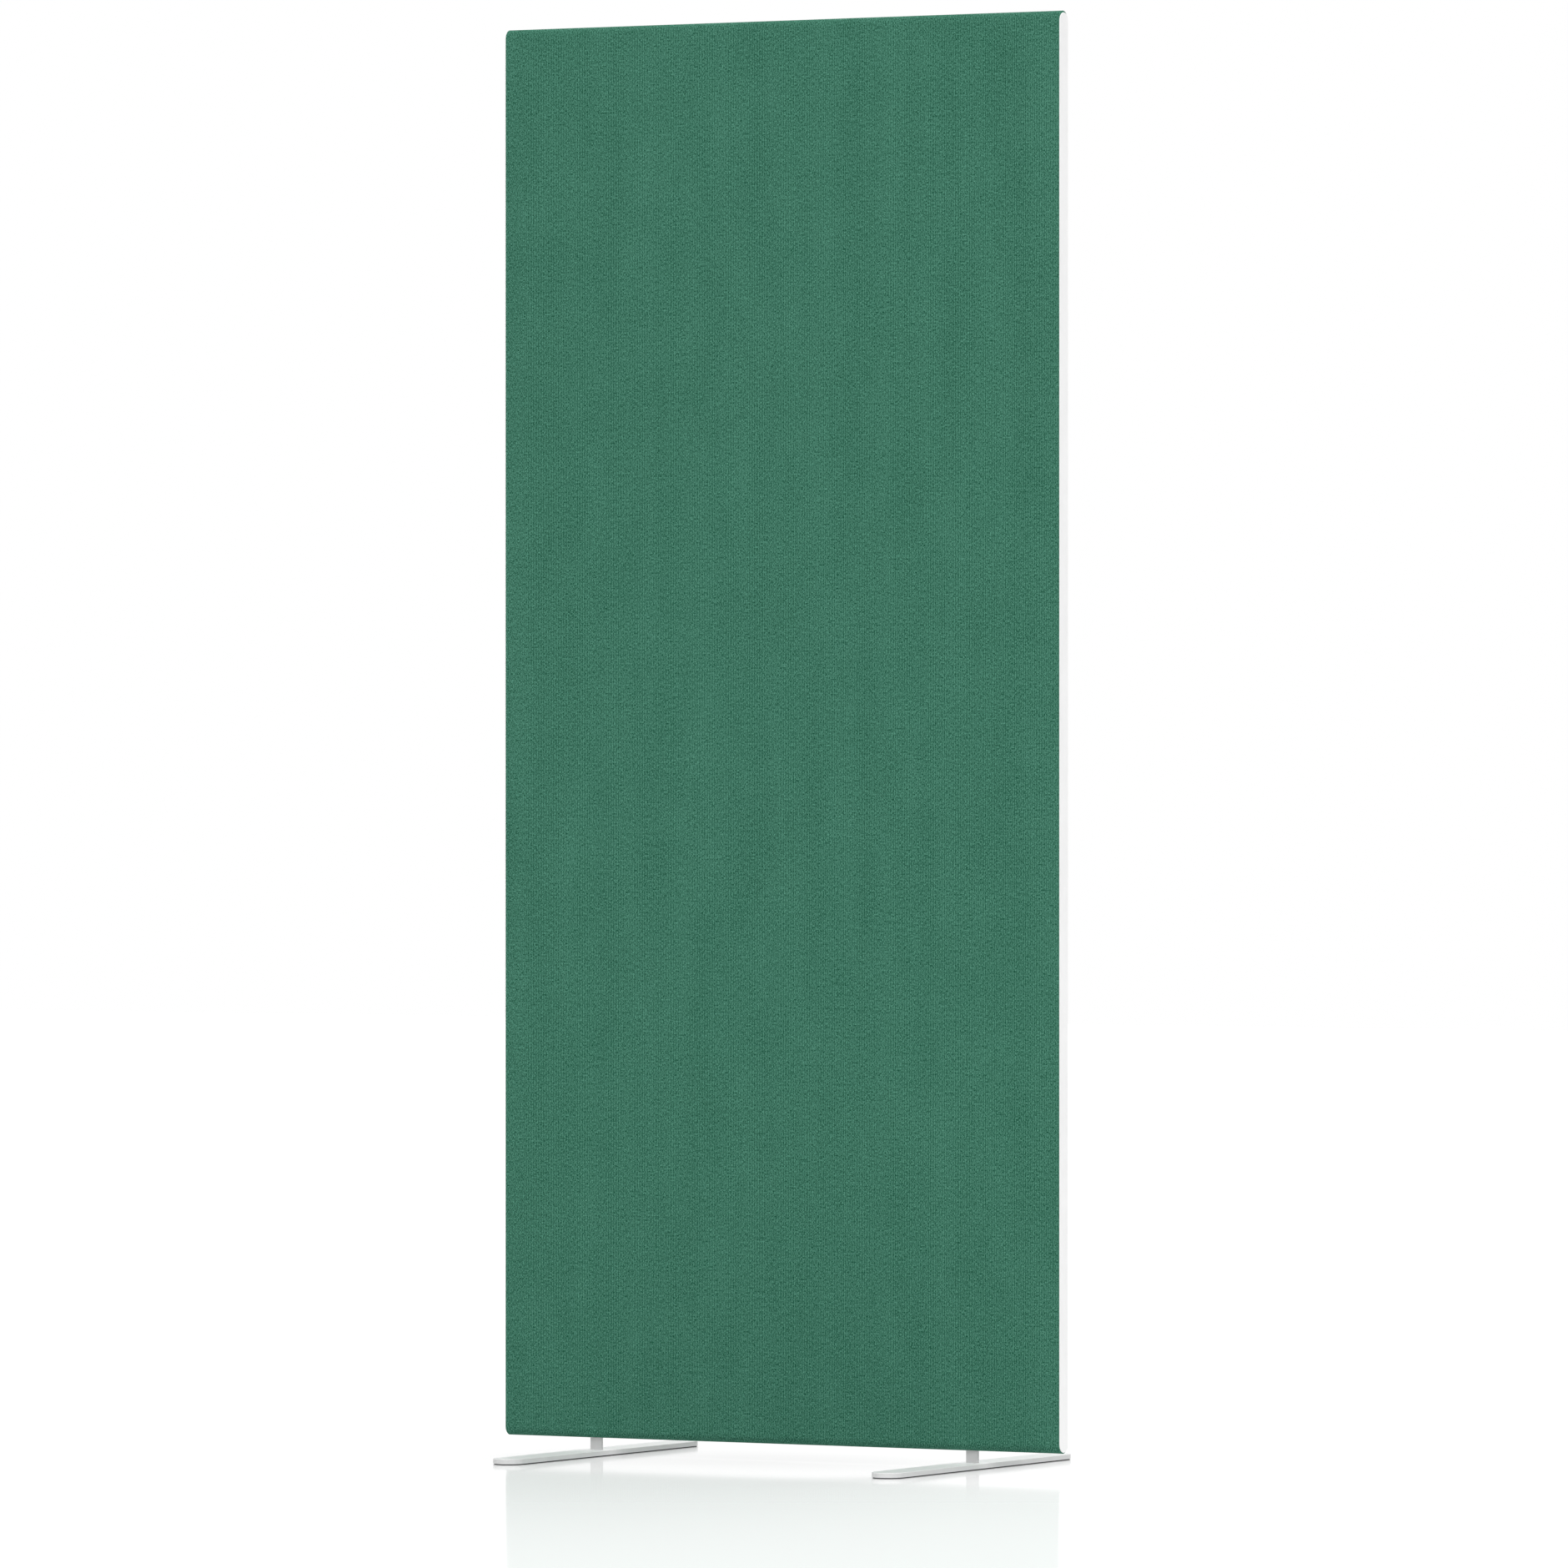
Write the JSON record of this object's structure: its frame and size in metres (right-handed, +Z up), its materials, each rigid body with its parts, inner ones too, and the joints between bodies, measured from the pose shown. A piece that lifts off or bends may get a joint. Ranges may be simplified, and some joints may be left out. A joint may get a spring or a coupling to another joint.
{
  "type": "office floor screen",
  "caption": "Tall thin free-standing screen: a fabric-covered timber panel with round top and bottom edges and edge strips, held up on flat steel feet.",
  "frame": {"origin": "on the floor, under the middle of the panel, at the centre of the bottom of the bounding box", "axes": "+Z up along the panel's height, X along the panel's width, Y through its thickness, with the pictured front towards -Y"},
  "size_m": [0.8, 0.464, 1.8],
  "materials": {
    "cover_fabric": "matte",
    "liner_felt": "matte",
    "core_board": "matte",
    "frame_wood": "matte",
    "dowel_wood": "matte",
    "strip_plastic": "satin",
    "foot_paint": "satin",
    "weld_paint": "satin",
    "pad_rubber": "matte",
    "socket_steel": "satin",
    "screw_steel": "satin"
  },
  "bodies": {
    "root": {"fabric_cover": "cover_fabric", "front_liner": "liner_felt", "rear_liner": "liner_felt", "upper_core": "core_board", "lower_core": "core_board", "top_rail": "frame_wood", "middle_rail": "frame_wood", "bottom_rail": "frame_wood", "left_stile": "frame_wood", "right_stile": "frame_wood", "corner_dowels": "dowel_wood", "middle_rail_dowels": "dowel_wood", "left_edge_strip": "strip_plastic", "right_edge_strip": "strip_plastic", "left_foot_plate": "foot_paint", "right_foot_plate": "foot_paint", "left_foot_upright": "foot_paint", "right_foot_upright": "foot_paint", "left_foot_weld": "weld_paint", "right_foot_weld": "weld_paint", "left_foot_pad": "pad_rubber", "right_foot_pad": "pad_rubber", "left_foot_socket": "socket_steel", "right_foot_socket": "socket_steel", "socket_screws": "screw_steel"}
  },
  "joints": []
}
